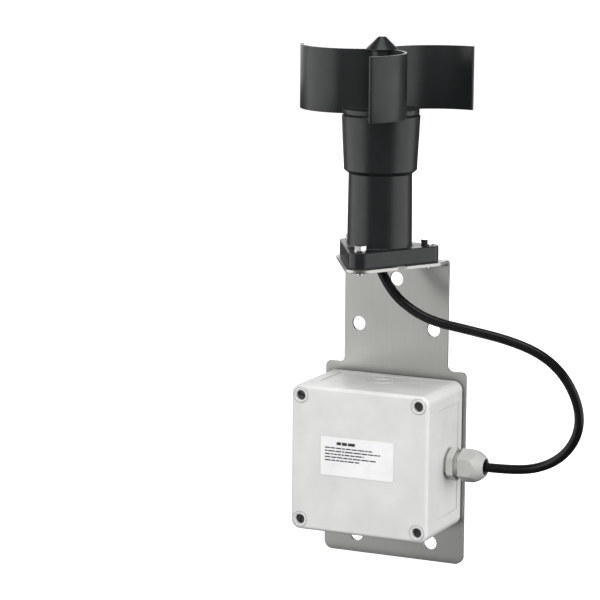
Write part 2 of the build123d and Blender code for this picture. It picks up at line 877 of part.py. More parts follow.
seal_nose_x = seal_end_x + gland_seal_nose
gland_seal = turned_on_gland(
    [
        (seal_x, cable_radius + touch),
        (seal_x, gland_seal_bore_radius - touch),
        (seal_nose_x, gland_seal_bore_radius - touch),
        (seal_nose_x + gland_seal_taper, gland_nut_mouth_radius - touch),
        (nut_end_x - gland_seal_recess, gland_nut_mouth_radius - touch),
        (nut_end_x - gland_seal_recess - gland_seal_dish, cable_radius + touch),
    ]
)
gland_seal.part.label = "gland_seal"
export_step(gland_seal.part, "parts/gland_seal.step")

with BuildPart() as gland_nut:
    with BuildSketch(Plane.YZ.offset(nut_x)):
        gland_hexagon()
    extrude(amount=gland_nut_length)
    with BuildSketch(gland_section):
        with BuildLine():
            Line((nut_x, 0), (nut_x, gland_corner_radius))
            Line((nut_x, gland_corner_radius), (nut_x + gland_nut_shoulder, gland_corner_radius))
            ThreePointArc(
                (nut_x + gland_nut_shoulder, gland_corner_radius),
                (nut_x + gland_dome_middle, gland_dome_middle_radius),
                (nut_end_x, gland_nut_mouth_radius + gland_nut_rim),
            )
            Line((nut_end_x, gland_nut_mouth_radius + gland_nut_rim), (nut_end_x, 0))
            Line((nut_end_x, 0), (nut_x, 0))
        make_face()
    revolve(axis=gland_axis, mode=Mode.INTERSECT)
    with BuildSketch(gland_section):
        with BuildLine():
            Polyline(
                (nut_x - beyond, 0),
                (nut_x - beyond, gland_neck_radius + touch),
                (seal_end_x + gland_nut_roof, gland_neck_radius + touch),
                (seal_end_x + 2 * gland_nut_roof, gland_nut_mouth_radius),
                (nut_end_x + beyond, gland_nut_mouth_radius),
                (nut_end_x + beyond, 0),
                close=True,
            )
        make_face()
    revolve(axis=gland_axis, mode=Mode.SUBTRACT)
gland_nut.part.label = "gland_nut"
export_step(gland_nut.part, "parts/gland_nut.step")

cable_end_x = locknut_end_x - cable_end_length
with BuildPart() as cable_end:
    with BuildSketch(Plane.YZ.offset(cable_end_x)):
        with Locations((gland_y, gland_z)):
            Circle(cable_radius)
    extrude(amount=nut_end_x - cable_end_x)
cable_end.part.label = "cable_end"
export_step(cable_end.part, "parts/cable_end.step")

# ---------------------------------------------------------------- junction box
panel_centre_y = front_face - (panel_inset_back + box_base_depth - panel_inset_split) / 2
panel_span_y = box_base_depth - panel_inset_back - panel_inset_split
pillar_end = box_split + air
boss_points = [
    (x * board_screw_span_x / 2, box_z + z * board_screw_span_z / 2) for x in (-1, 1) for z in (-1, 1)
]
fixing_points = [(x * box_fixing_x / 2, box_z + z * box_fixing_z / 2) for x in (-1, 1) for z in (-1, 1)]
head_seat = box_front + lid_screw_recess + lid_screw_head
screw_end = head_seat + lid_screw_length

with BuildPart() as box_base:
    with BuildSketch(Plane.XZ.offset(-front_face)):
        with Locations((0, box_z)):
            box_outline(0)
    extrude(amount=box_base_depth)
    fillet(box_base.faces().sort_by(Axis.Y)[-1].edges(), box_back_fillet)
    with BuildSketch(Plane.XZ.offset(-box_floor_front)):
        with Locations((0, box_z)):
            box_outline(box_wall)
        with Locations(*box_corners):
            Circle(pillar_radius, mode=Mode.SUBTRACT)
        with Locations(*boss_points):
            Circle(boss_radius, mode=Mode.SUBTRACT)
    extrude(amount=box_base_depth, mode=Mode.SUBTRACT)
    with BuildSketch(Plane.XZ.offset(-board_back)):
        with Locations(*boss_points):
            Circle(boss_radius)
    extrude(amount=box_base_depth, mode=Mode.SUBTRACT)
    with BuildSketch(Plane.XZ.offset(-pillar_end)):
        with Locations((0, box_z)):
            box_outline(box_wall)
    extrude(amount=box_base_depth, mode=Mode.SUBTRACT)
    with BuildSketch(Plane.XZ.offset(-screw_end)):
        with Locations(*box_corners):
            Circle(lid_screw_radius + touch)
    extrude(amount=box_base_depth, mode=Mode.SUBTRACT)
    with BuildSketch(Plane.XZ.offset(-board_back)):
        with Locations(*boss_points):
            Circle(board_screw_radius + touch)
    extrude(amount=-board_standoff, mode=Mode.SUBTRACT)
    with BuildSketch(Plane.XZ.offset(-front_face)):
        with Locations(*fixing_points):
            Circle(box_fixing_radius + touch)
    extrude(amount=box_floor, mode=Mode.SUBTRACT)
    for side in (-1, 1):
        with Locations((side * box_side, panel_centre_y, box_z)):
            Box(2 * panel_recess, panel_span_y, box_height - 2 * panel_margin, mode=Mode.SUBTRACT)
        with Locations((0, panel_centre_y, box_z + side * box_height / 2)):
            Box(box_width - 2 * panel_margin, panel_span_y, 2 * panel_recess, mode=Mode.SUBTRACT)
    with BuildSketch(Plane.YZ.offset(wall_inside_x - beyond)):
        with Locations((gland_y, gland_z)):
            Circle(gland_thread_radius)
    extrude(amount=box_wall + 2 * beyond, mode=Mode.SUBTRACT)
    with BuildSketch(Plane.YZ.offset(box_side - panel_recess)):
        with Locations((gland_y, gland_z)):
            Circle(gland_washer_radius + gland_pad_margin)
            Circle(gland_thread_radius, mode=Mode.SUBTRACT)
    extrude(amount=panel_recess)
    with BuildSketch(Plane.XY.offset(box_z + box_height / 2 - panel_recess)):
        with Locations((0, panel_centre_y)):
            with GridLocations(dimple_pitch, dimple_pitch, 4, 1):
                Circle(dimple_radius)
    extrude(amount=-panel_recess, mode=Mode.SUBTRACT)
box_base.part.label = "box_base"
export_step(box_base.part, "parts/box_base.step")

with BuildPart() as box_lid:
    with BuildSketch(Plane.XZ.offset(-box_split)):
        with Locations((0, box_z)):
            box_outline(0)
    extrude(amount=box_lid_depth)
    fillet(box_lid.faces().sort_by(Axis.Y)[0].edges(), box_front_fillet)
    with BuildSketch(Plane.XZ.offset(-box_split)):
        with Locations((0, box_z)):
            box_outline(box_wall)
        with Locations(*box_corners):
            Circle(pillar_radius, mode=Mode.SUBTRACT)
    extrude(amount=box_lid_depth - box_wall, mode=Mode.SUBTRACT)
    with BuildSketch(Plane.XZ.offset(-box_split)):
        with Locations((0, box_z)):
            box_outline(seal_inset)
            box_outline(seal_inset + seal_width, mode=Mode.SUBTRACT)
    extrude(amount=seal_depth, mode=Mode.SUBTRACT)
    with BuildSketch(Plane.XZ.offset(-box_split)):
        with Locations(*box_corners):
            Circle(lid_screw_radius + touch)
    extrude(amount=box_lid_depth, mode=Mode.SUBTRACT)
    with BuildSketch(Plane.XZ.offset(-head_seat)):
        with Locations(*box_corners):
            Circle(lid_screw_bore)
    extrude(amount=box_lid_depth, mode=Mode.SUBTRACT)
    with BuildSketch(Plane.XZ.offset(-(box_front + lid_ring_groove))):
        with Locations(*box_corners):
            Circle(lid_ring_radius)
            Circle(lid_ring_radius - lid_ring_groove, mode=Mode.SUBTRACT)
    extrude(amount=box_lid_depth, mode=Mode.SUBTRACT)
box_lid.part.label = "box_lid"
export_step(box_lid.part, "parts/box_lid.step")

with BuildPart() as lid_gasket:
    with BuildSketch(Plane.XZ.offset(-box_split)):
        with Locations((0, box_z)):
            box_outline(seal_inset + touch)
            box_outline(seal_inset + seal_width - touch, mode=Mode.SUBTRACT)
    extrude(amount=seal_depth)
lid_gasket.part.label = "lid_gasket"
export_step(lid_gasket.part, "parts/lid_gasket.step")

with BuildPart() as lid_screws:
    with BuildSketch(Plane.XZ.offset(-head_seat)):
        with Locations(*box_corners):
            Circle(lid_screw_head_radius)
    extrude(amount=lid_screw_head)
    with BuildSketch(Plane.XZ.offset(-screw_end)):
        with Locations(*box_corners):
            Circle(lid_screw_radius)
    extrude(amount=lid_screw_length)
    with BuildSketch(Plane.XZ.offset(-(head_seat - lid_screw_head))):
        for corner, turn in zip(box_corners, lid_slot_turns):
            with Locations(corner):
                Rectangle(2 * lid_screw_head_radius, lid_slot_width, rotation=turn)
    extrude(amount=-lid_slot_depth, mode=Mode.SUBTRACT)
lid_screws.part.label = "lid_screws"
export_step(lid_screws.part, "parts/lid_screws.step")

with BuildPart() as box_fixings:
    with BuildSketch(Plane.XZ.offset(-box_floor_front)):
        with Locations(*fixing_points):
            Circle(box_fixing_head_radius)
    extrude(amount=box_fixing_head)
    with BuildSketch(Plane.XZ):
        with Locations(*fixing_points):
            Circle(box_fixing_radius)
    extrude(amount=-box_floor_front)
box_fixings.part.label = "box_fixings"
export_step(box_fixings.part, "parts/box_fixings.step")

with BuildPart() as name_plate:
    with BuildSketch(Plane.XZ.offset(-box_front)):
        with Locations((name_plate_x, box_z + name_plate_rise)):
            RectangleRounded(plate_width, plate_height, name_plate_corner)
    extrude(amount=name_plate_thickness)
name_plate.part.label = "name_plate"
export_step(name_plate.part, "parts/name_plate.step")

# ---------------------------------------------------------------- inside the box
with BuildPart() as transmitter_board:
    with BuildSketch(Plane.XZ.offset(-board_back)):
        with Locations((0, box_z)):
            Rectangle(board_width, board_height)
        with Locations(*boss_points):
            Circle(board_screw_radius + touch, mode=Mode.SUBTRACT)
    extrude(amount=board_thickness)
transmitter_board.part.label = "transmitter_board"
export_step(transmitter_board.part, "parts/transmitter_board.step")

with BuildPart() as board_screws:
    with BuildSketch(Plane.XZ.offset(-board_front)):
        with Locations(*boss_points):
            Circle(board_screw_head_radius)
    extrude(amount=board_screw_head)
    with BuildSketch(Plane.XZ.offset(-board_front)):
        with Locations(*boss_points):
            Circle(board_screw_radius)
    extrude(amount=-(board_thickness + board_standoff - board_screw_gap))
board_screws.part.label = "board_screws"
export_step(board_screws.part, "parts/board_screws.step")

cell_y = board_front - holder_wall - cell_radius
with BuildPart() as cell_holder:
    with Locations((holder_x, cell_y + holder_wall / 2, box_z)):
        Box(2 * (cell_radius + holder_wall), 2 * cell_radius + holder_wall, cell_length + 4 * holder_wall)
    with Locations((holder_x, cell_y - holder_wall, box_z)):
        Box(
            2 * cell_radius,
            2 * (cell_radius + holder_wall),
            cell_length + 2 * holder_wall,
            mode=Mode.SUBTRACT,
        )
    with Locations((holder_x, cell_y - cell_radius - holder_wall, box_z)):
        Box(4 * cell_radius, 2 * cell_radius, cell_length - 2 * holder_end, mode=Mode.SUBTRACT)
cell_holder.part.label = "cell_holder"
export_step(cell_holder.part, "parts/cell_holder.step")

with BuildPart() as battery_cell:
    with BuildSketch(Plane.XY.offset(box_z - cell_length / 2)):
        with Locations((holder_x, cell_y)):
            Circle(cell_radius - touch)
    extrude(amount=cell_length - cell_nub)
    fillet(battery_cell.edges().filter_by(GeomType.CIRCLE), cell_edge)
    with BuildSketch(Plane.XY.offset(box_z + cell_length / 2 - cell_nub)):
        with Locations((holder_x, cell_y)):
            Circle(cell_nub_radius)
    extrude(amount=cell_nub)
battery_cell.part.label = "battery_cell"
export_step(battery_cell.part, "parts/battery_cell.step")

with BuildPart() as cell_contacts:
    for end in (-1, 1):
        with Locations((holder_x, cell_y, box_z + end * (cell_length / 2 + holder_wall / 2))):
            Box(contact_width, contact_height, holder_wall - 2 * touch)
cell_contacts.part.label = "cell_contacts"
export_step(cell_contacts.part, "parts/cell_contacts.step")

terminal_z = gland_z
terminal_length = terminal_poles * terminal_pole
pole_z = [terminal_z + (pole - (terminal_poles - 1) / 2) * terminal_pole for pole in range(terminal_poles)]
clamp_x = terminal_x - terminal_screw_offset
wire_y = board_front - terminal_mouth_rise

with BuildPart() as terminal_block:
    with Locations((terminal_x, board_front - terminal_rise / 2, terminal_z)):
        Box(terminal_depth, terminal_rise, terminal_length)
    with Locations(*[(terminal_x + terminal_depth / 2, wire_y, z) for z in pole_z]):
        Box(2 * terminal_mouth_depth, terminal_mouth, terminal_mouth, mode=Mode.SUBTRACT)
    with BuildSketch(Plane.XZ.offset(-(board_front - terminal_rise))):
        with Locations(*[(clamp_x, z) for z in pole_z]):
            Circle(terminal_screw_radius + terminal_well_gap)
    extrude(amount=-terminal_screw_well, mode=Mode.SUBTRACT)
terminal_block.part.label = "terminal_block"
export_step(terminal_block.part, "parts/terminal_block.step")

terminal_screw_top = board_front - terminal_rise + terminal_screw_drop
with BuildPart() as terminal_screws:
    with BuildSketch(Plane.XZ.offset(-terminal_screw_top)):
        with Locations(*[(clamp_x, z) for z in pole_z]):
            Circle(terminal_screw_radius)
    extrude(amount=-terminal_screw_length)
    with BuildSketch(Plane.XZ.offset(-terminal_screw_top)):
        with Locations(*[(clamp_x, z) for z in pole_z]):
            Rectangle(2 * terminal_screw_radius, terminal_slot_width)
    extrude(amount=-terminal_slot_depth, mode=Mode.SUBTRACT)
terminal_screws.part.label = "terminal_screws"
export_step(terminal_screws.part, "parts/terminal_screws.step")

with BuildPart() as radio_module:
    with Locations((radio_x, board_front - radio_rise / 2, box_z + radio_z)):
        Box(radio_width, radio_rise, radio_height)
    fillet(radio_module.edges().filter_by(Axis.Y), radio_corner)
radio_module.part.label = "radio_module"
export_step(radio_module.part, "parts/radio_module.step")

antenna_x = box_side - box_wall - antenna_wall_gap
antenna_y = board_front - antenna_rise
with BuildPart() as radio_antenna:
    with BuildLine() as antenna_path:
        FilletPolyline(
            (radio_x + radio_width / 2, antenna_y, box_z + radio_z),
            (antenna_x, antenna_y, box_z + radio_z),
            (antenna_x, antenna_y, box_z + radio_z - antenna_drop),
            radius=antenna_bend,
        )
    antenna_run = antenna_path.wires()[0]
    with BuildSketch(Plane(origin=antenna_run @ 0, z_dir=antenna_run % 0)):
        Circle(antenna_radius)
    sweep(path=antenna_run)
radio_antenna.part.label = "radio_antenna"
export_step(radio_antenna.part, "parts/radio_antenna.step")


def cores(name, starts, middles, ends):
    """Thin insulated cores, one solid each, from starts over middles to ends."""
    with BuildPart() as wires:
        for start, middle, end in zip(starts, middles, ends):
            with BuildLine() as path:
                FilletPolyline(start, *middle, end, radius=core_bend)
            run = path.wires()[0]
            with BuildSketch(Plane(origin=run @ 0, z_dir=run % 0)):
                Circle(core_radius)
            sweep(path=run)
    wires.part.label = name
    export_step(wires.part, f"parts/{name}.step")


terminal_face_x = terminal_x + terminal_depth / 2
bush_top = foot_bottom + tube_floor + bush_flange_thickness
fan_y = sensor_y + core_strip
offsets = [(core - (terminal_poles - 1) / 2) * core_pitch for core in range(terminal_poles)]
cores(
    "box_cores",
    [(cable_end_x, gland_y, gland_z + z) for z in offsets],
    [
        [(cable_end_x - core_strip, gland_y, gland_z + z), (terminal_face_x + core_strip, wire_y, far_z)]
        for z, far_z in zip(offsets, pole_z)
    ],
    [(terminal_face_x - terminal_mouth, wire_y, z) for z in pole_z],
)
cores(
    "sensor_cores",
    [(x, sensor_y, bush_bottom + core_strip) for x in offsets],
    [
        [(x, sensor_y, bush_top + core_strip), (core_fan * x, fan_y, board_ledge - 2 * core_strip)]
        for x in offsets
    ],
    [(core_fan * x, fan_y, board_ledge) for x in offsets],
)
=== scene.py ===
import json
from math import atan2, cos, degrees, pi, radians, sin
from random import Random

import bmesh
import bpy
from mathutils import Matrix, Vector


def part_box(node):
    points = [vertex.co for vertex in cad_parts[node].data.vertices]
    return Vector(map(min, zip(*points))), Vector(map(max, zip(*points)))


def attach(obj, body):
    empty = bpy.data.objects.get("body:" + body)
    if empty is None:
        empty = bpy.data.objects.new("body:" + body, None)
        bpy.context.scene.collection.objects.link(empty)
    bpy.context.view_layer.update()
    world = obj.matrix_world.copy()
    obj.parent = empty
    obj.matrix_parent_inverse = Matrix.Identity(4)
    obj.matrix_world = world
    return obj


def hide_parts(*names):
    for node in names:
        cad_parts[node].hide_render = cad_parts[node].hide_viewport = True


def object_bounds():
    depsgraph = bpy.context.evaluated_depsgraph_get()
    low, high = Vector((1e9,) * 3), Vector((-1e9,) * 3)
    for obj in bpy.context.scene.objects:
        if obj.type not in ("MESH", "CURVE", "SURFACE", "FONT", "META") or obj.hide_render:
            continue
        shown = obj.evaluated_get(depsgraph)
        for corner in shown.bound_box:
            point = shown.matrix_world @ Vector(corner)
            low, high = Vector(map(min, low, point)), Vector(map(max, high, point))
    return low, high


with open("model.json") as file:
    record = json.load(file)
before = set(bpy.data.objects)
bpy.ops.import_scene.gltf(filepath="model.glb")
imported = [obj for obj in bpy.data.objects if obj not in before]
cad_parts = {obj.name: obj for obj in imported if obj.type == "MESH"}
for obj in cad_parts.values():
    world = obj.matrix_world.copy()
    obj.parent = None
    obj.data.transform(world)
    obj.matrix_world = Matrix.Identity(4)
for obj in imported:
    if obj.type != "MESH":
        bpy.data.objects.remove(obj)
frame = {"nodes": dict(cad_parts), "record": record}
cad_low, cad_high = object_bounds()
nodes = frame["nodes"]
MM = 0.001
TAU = 2 * pi

# ------------------------------------------------------------------ places read from the frame
board_low, board_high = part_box("pulse_board")
base_low, base_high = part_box("box_base")
label_low, label_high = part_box("name_plate")
nut_low, nut_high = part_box("gland_nut")
lid_screw_low, lid_screw_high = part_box("lid_screws")
bracket_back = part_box("bracket")[1].y
gasket_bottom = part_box("sensor_gasket")[0].z
foot_screw_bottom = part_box("foot_screws")[0].z
sensor_axis = (board_low + board_high) / 2
gland_centre = (nut_low + nut_high) / 2
base_centre = (base_low + base_high) / 2
object_centre = (cad_low + cad_high) / 2
sheet_thickness = bracket_back - base_high.y
X, Y, Z = Vector((1, 0, 0)), Vector((0, 1, 0)), Vector((0, 0, 1))


def direction(azimuth, elevation):
    """Unit vector towards a place round the object. Azimuth 0 is in front, 90 to its right."""
    a, e = radians(azimuth), radians(elevation)
    return Vector((sin(a) * cos(e), -cos(a) * cos(e), sin(e)))


# ------------------------------------------------------------------ camera
# Angles in degrees, lens and sensor in mm, distance and aim in metres.
CAMERA_AZIMUTH = 25.1
CAMERA_ELEVATION = 9.8
CAMERA_ROLL = 0.45
CAMERA_DISTANCE = 1.7827
CAMERA_LENS = 166.1
CAMERA_SENSOR = 36.0
CAMERA_CLIP = (0.05, 40.0)
AIM = Vector((-0.0593, -0.0207, 0.0853))


def add_camera():
    """The camera right of the object's front and a little above, aimed past its left side."""
    data = bpy.data.cameras.new("camera")
    data.lens = CAMERA_LENS
    data.sensor_width = CAMERA_SENSOR
    data.clip_start, data.clip_end = CAMERA_CLIP
    camera = bpy.data.objects.new("camera", data)
    back = direction(CAMERA_AZIMUTH, CAMERA_ELEVATION)
    camera.location = AIM + back * CAMERA_DISTANCE
    level = (-back).to_track_quat("-Z", "Y").to_matrix()
    camera.rotation_euler = (level @ Matrix.Rotation(radians(CAMERA_ROLL), 3, "Z")).to_euler()
    bpy.context.scene.collection.objects.link(camera)
    bpy.context.scene.camera = camera


add_camera()

# ------------------------------------------------------------------ cable
# All in metres. The route repeats the points of the CAD cable, from the sensor to the gland.
CABLE_DIAMETER = 0.006
CABLE_ROUTE = [
    (0.0, -0.030, 0.1130),
    (0.006, -0.030, 0.101),
    (0.018, -0.030, 0.0895),
    (0.036, -0.0305, 0.081),
    (0.062, -0.031, 0.0776),
    (0.090, -0.031, 0.0732),
    (0.111, -0.0305, 0.066),
    (0.126, -0.030, 0.0535),
    (0.135, -0.029, 0.035),
    (0.1345, -0.0275, 0.018),
    (0.1245, -0.0255, 0.0025),
    (0.108, -0.023, -0.0075),
    (0.089, -0.0235, -0.0105),
    (0.072, -0.0235, -0.0105),
]


def add_cable():
    """The sensor's cable as one smooth line. Its thickness is each point's radius."""
    curve = bpy.data.curves.new("sensor_cable_line", "CURVE")
    curve.dimensions = "3D"
    line = curve.splines.new("NURBS")
    line.points.add(len(CABLE_ROUTE) - 1)
    for point, place in zip(line.points, CABLE_ROUTE):
        point.co = (*place, 1.0)
        point.radius = CABLE_DIAMETER / 2
    line.order_u = 3
    line.use_endpoint_u = True
    line.resolution_u = 12
    curve.bevel_depth = 1.0
    curve.bevel_resolution = 7
    cable = bpy.data.objects.new("sensor_cable_skin", curve)
    bpy.context.scene.collection.objects.link(cable)
    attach(cable, "root")
    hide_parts("sensor_cable")
    return cable


cable = add_cable()


# ------------------------------------------------------------------ stage and light
# Metres. The panels' radiance is in watts per square metre and steradian.
FLOOR_GAP = 0.0005
FLOOR_RADIUS = 5.0
SWEEP_RADIUS = 3.0
WALL_HEIGHT = 7.0
SWEEP_STEPS = 16
BOWL_SIDES = 64
PAPER_COLOUR = (0.80, 0.80, 0.80, 1)
PAPER_GLOW = 0.98
SKY_COLOUR = (0.97, 0.985, 1.0, 1)
SKY_STRENGTH = 0.09


def add_stage():
    """A pale floor that rises in a round sweep far from the object, the same from every side."""
    profile = [(FLOOR_RADIUS, 0.0)]
    for i in range(1, SWEEP_STEPS + 1):
        turn = radians(90) * i / SWEEP_STEPS
        profile.append((FLOOR_RADIUS + SWEEP_RADIUS * sin(turn), SWEEP_RADIUS * (1 - cos(turn))))
    profile.append((FLOOR_RADIUS + SWEEP_RADIUS, WALL_HEIGHT))
    turns = [TAU * k / BOWL_SIDES for k in range(BOWL_SIDES)]
    bm = bmesh.new()
    rings = [[bm.verts.new((r * cos(t), r * sin(t), height)) for t in turns] for r, height in profile]
    bm.faces.new(rings[0])
    for low, high in zip(rings, rings[1:]):
        for k in range(BOWL_SIDES):
            bm.faces.new((low[k - 1], low[k], high[k], high[k - 1]))
    bmesh.ops.recalc_face_normals(bm, faces=bm.faces)
    mesh = bpy.data.meshes.new("studio_bowl")
    bm.to_mesh(mesh)
    bm.free()
    mesh.polygons.foreach_set("use_smooth", [len(p.vertices) == 4 for p in mesh.polygons])
    bowl = bpy.data.objects.new("studio_bowl", mesh)
    bowl.location = (object_centre.x, object_centre.y, cad_low.z - FLOOR_GAP)
    bowl.visible_glossy = False
    bowl.visible_diffuse = False
    bpy.context.scene.collection.objects.link(bowl)
    material = bpy.data.materials.new("studio_paper")
    material.use_nodes = True
    shader = material.node_tree.nodes["Principled BSDF"]
    shader.inputs["Base Color"].default_value = PAPER_COLOUR
    shader.inputs["Roughness"].default_value = 1.0
    shader.inputs["Specular IOR Level"].default_value = 0.0
    shader.inputs["Emission Color"].default_value = (1, 1, 1, 1)
    shader.inputs["Emission Strength"].default_value = PAPER_GLOW
    mesh.materials.append(material)


def add_panel(name, azimuth, elevation, distance, width, height, radiance, mirrored=True):
    """A soft light panel that faces the object, its azimuth counted from the camera's.

    A panel that isn't mirrored leaves no reflection.
    """
    data = bpy.data.lights.new(name, "AREA")
    data.shape = "RECTANGLE"
    data.size = width
    data.size_y = height
    data.energy = radiance * width * height * pi
    panel = bpy.data.objects.new(name, data)
    away = direction(CAMERA_AZIMUTH + azimuth, elevation)
    panel.location = object_centre + away * distance
    panel.rotation_euler = (-away).to_track_quat("-Z", "Y").to_euler()
    panel.visible_glossy = mirrored
    bpy.context.scene.collection.objects.link(panel)


def add_lights():
    """Two side panels that streak the round parts, a fill for the flat ones, and top and rear."""
    world = bpy.data.worlds.new("studio")
    world.use_nodes = True
    background = world.node_tree.nodes["Background"]
    background.inputs["Color"].default_value = SKY_COLOUR
    background.inputs["Strength"].default_value = SKY_STRENGTH
    bpy.context.scene.world = world
    bpy.context.scene.view_settings.view_transform = "Standard"
    add_panel("left_panel", -88, 4, distance=1.6, width=2.5, height=1.7, radiance=1.45)
    add_panel("right_panel", 81, 4, distance=1.6, width=2.45, height=1.7, radiance=1.3)
    add_panel("front_fill", -12, 22, distance=1.9, width=1.2, height=1.2, radiance=5.6, mirrored=False)
    add_panel("right_fill", 50, 15, distance=1.9, width=1.2, height=1.2, radiance=3.7, mirrored=False)
    add_panel("top_panel", -20, 78, distance=1.5, width=1.0, height=1.0, radiance=2.4)
    add_panel("rear_left_panel", -160, 15, distance=2.2, width=1.9, height=1.4, radiance=1.0)
    add_panel("rear_right_panel", 172, 20, distance=2.2, width=1.0, height=1.4, radiance=0.8)


add_stage()
add_lights()


# ------------------------------------------------------------------ materials
class Surface:
    """A procedural material: a Principled shader fed by small node chains in object space.

    Sizes are in mm. A seed only moves a noise, so that no two of one material coincide.
    """

    BEVEL_SAMPLES = 6
    # Samples for the painted crevice shade.
    CREVICE_SHADE_SAMPLES = 8
    SMOOTHEST = 0.02

    def __init__(self, name, base, roughness, metallic=0.0):
        self.material = bpy.data.materials.new(name)
        self.material.use_nodes = True
        self.tree = self.material.node_tree
        self.shader = self.tree.nodes["Principled BSDF"]
        self.shader.inputs["Base Color"].default_value = (*base, 1)
        self.shader.inputs["Roughness"].default_value = roughness
        self.shader.inputs["Metallic"].default_value = metallic
        self.base = base
        self.roughness = roughness
        self.place = self.add("ShaderNodeTexCoord").outputs["Object"]
        self.normal = None

    def add(self, kind, **values):
        node = self.tree.nodes.new(kind)
        for key, value in values.items():
            setattr(node, key, value)
        return node

    def link(self, source, target):
        self.tree.links.new(source, target)

    def stretched(self, scale):
        """Object coordinates scaled along X, Y and Z."""
        node = self.add("ShaderNodeMapping")
        node.inputs["Scale"].default_value = scale
        self.link(self.place, node.inputs["Vector"])
        return node.outputs["Vector"]

    def noise(self, size_mm, detail=2.0, scale=(1, 1, 1), seed=0.0):
        """Grey noise whose features are about size_mm across."""
        node = self.add("ShaderNodeTexNoise", noise_dimensions="4D")
        node.inputs["Scale"].default_value = 1 / (size_mm * MM)
        node.inputs["Detail"].default_value = detail
        node.inputs["W"].default_value = seed
        self.link(self.stretched(scale) if scale != (1, 1, 1) else self.place, node.inputs["Vector"])
        return node.outputs["Fac"]

    def remap(self, value, low, high, start=0.3, end=0.7):
        """Stretches value so that start becomes low and end becomes high."""
        node = self.add("ShaderNodeMapRange")
        node.inputs["From Min"].default_value = start
        node.inputs["From Max"].default_value = end
        node.inputs["To Min"].default_value = low
        node.inputs["To Max"].default_value = high
        self.link(value, node.inputs["Value"])
        return node.outputs["Result"]

    def bump(self, value, depth_mm, strength=1.0):
        """Adds value to the surface's relief, depth_mm deep."""
        node = self.add("ShaderNodeBump")
        node.inputs["Strength"].default_value = strength
        node.inputs["Distance"].default_value = depth_mm * MM
        self.link(value, node.inputs["Height"])
        if self.normal is not None:
            self.link(self.normal, node.inputs["Normal"])
        self.normal = node.outputs["Normal"]
        self.link(self.normal, self.shader.inputs["Normal"])

    def round_edges(self, radius_mm):
        """Shades edges as if they were rounded."""
        node = self.add("ShaderNodeBevel", samples=self.BEVEL_SAMPLES)
        node.inputs["Radius"].default_value = radius_mm * MM
        self.normal = node.outputs["Normal"]
        self.link(self.normal, self.shader.inputs["Normal"])

    def edge_highlight_mask(self, radius_mm, strength=0.5):
        """Strength at edges and 0 on open faces, the mask of a painted edge highlight."""
        bevel = self.add("ShaderNodeBevel", samples=self.BEVEL_SAMPLES)
        bevel.inputs["Radius"].default_value = radius_mm * MM
        flat = self.add("ShaderNodeNewGeometry")
        dot = self.add("ShaderNodeVectorMath", operation="DOT_PRODUCT")
        self.link(bevel.outputs["Normal"], dot.inputs[0])
        self.link(flat.outputs["Normal"], dot.inputs[1])
        return self.remap(dot.outputs["Value"], low=strength, high=0.0, start=0.80, end=0.99)

    def painted_crevice_shade(self, distance_mm, darkest):
        """Painted shade: 1 on open faces, down to darkest where another face stands close."""
        node = self.add("ShaderNodeAmbientOcclusion", samples=self.CREVICE_SHADE_SAMPLES)
        node.inputs["Distance"].default_value = distance_mm * MM
        return self.remap(node.outputs["AO"], low=darkest, high=1.0, start=0.35, end=0.95)

    def vary_roughness(self, value, spread):
        """Roughness up to spread above and below the finish's own, by value."""
        smooth = max(self.SMOOTHEST, self.roughness - spread)
        self.link(self.remap(value, smooth, self.roughness + spread), self.shader.inputs["Roughness"])

    def mix_over(self, below, colour, amount, blend_type="MIX"):
        """Lays a colour over another one. Each of the three is a socket or a plain value."""
        node = self.add("ShaderNodeMix", data_type="RGBA", blend_type=blend_type)
        for name, value in (("A", below), ("B", colour), ("Factor", amount)):
            if isinstance(value, bpy.types.NodeSocket):
                self.link(value, node.inputs[name])
            else:
                node.inputs[name].default_value = (*value, 1) if isinstance(value, tuple) else value
        return node.outputs["Result"]

    def vary_colour(self, value, darkest, lightest, edge=None, edge_highlight_gain=1.0, crevice_shade=None):
        """Base colour times darkest to lightest by value, then edges painted paler as a highlight, then
        painted shade in crevices.
        """
        dark, light = shade(self.base, darkest), shade(self.base, lightest)
        out = self.mix_over(dark, light, self.remap(value, low=0.0, high=1.0))
        # Edges painted paler as a highlight.
        if edge is not None:
            out = self.mix_over(out, shade(self.base, edge_highlight_gain), edge)
        # Painted shade in crevices, multiplied over the colour.
        if crevice_shade is not None:
            out = self.mix_over(out, crevice_shade, 1.0, "MULTIPLY")
        self.link(out, self.shader.inputs["Base Color"])


def shade(colour, factor):
    """A colour made darker or lighter, never past white."""
    return tuple(min(1.0, c * factor) for c in colour)


def moulded_plastic(
    name, base, roughness, grain_mm=0.35, grain_depth_mm=0.012, edge_mm=0.25, edge_highlight_gain=1.6, crevice_shade_mm=None
):
    """Moulded plastic: fine spark-eroded grain, soft blotches, edges painted paler as a highlight and, if
    asked for, painted shade in crevices.
    """
    s = Surface(name, base, roughness)
    s.round_edges(edge_mm)
    s.bump(s.noise(grain_mm, detail=2.0), depth_mm=grain_depth_mm)
    s.bump(s.noise(14.0, detail=1.0, seed=2.0), depth_mm=0.03, strength=0.5)
    s.vary_roughness(s.noise(9.0, detail=4.0, seed=5.0), spread=0.05)
    s.vary_colour(
        s.noise(22.0, detail=3.0, seed=8.0), darkest=0.93, lightest=1.07,
        # The edge mask paints a highlight and the crevice mask paints shade.
        edge=s.edge_highlight_mask(edge_mm * 1.4), edge_highlight_gain=edge_highlight_gain,
        crevice_shade=s.painted_crevice_shade(crevice_shade_mm, darkest=0.45) if crevice_shade_mm else None,
    )
    return s.material


